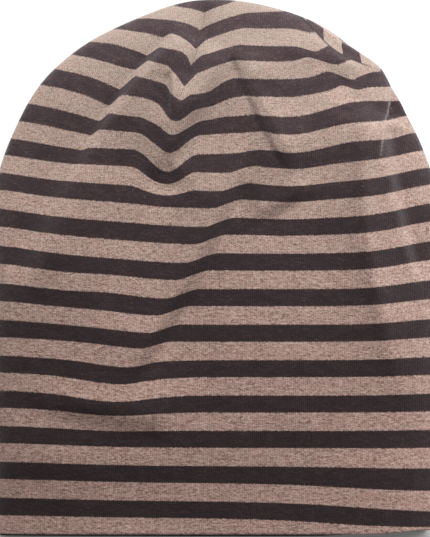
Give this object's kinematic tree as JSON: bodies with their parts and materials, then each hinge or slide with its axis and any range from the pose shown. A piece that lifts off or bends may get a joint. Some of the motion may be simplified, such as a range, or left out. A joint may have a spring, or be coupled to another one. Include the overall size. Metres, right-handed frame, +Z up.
{
  "type": "slouchy beanie",
  "caption": "Slouchy knitted-jersey beanie in even light and dark stripes, lying flat on its back, hollow and open at the hem, with darts and soft folds at the crown.",
  "frame": {"origin": "on the surface that the hat lies on, under the middle of its outline's box", "axes": "+Y from the hem to the crown, +X to the picture's right, +Z up from the surface through the face that the picture shows"},
  "size_m": [0.244, 0.2888, 0.0326],
  "materials": {
    "striped_jersey": "matt cotton jersey in stripes of beige melange and near-black brown",
    "dark_jersey": "matt plain near-black cotton jersey"
  },
  "bodies": {
    "root": {"outer_shell": "striped_jersey", "lining": "dark_jersey"}
  },
  "joints": []
}
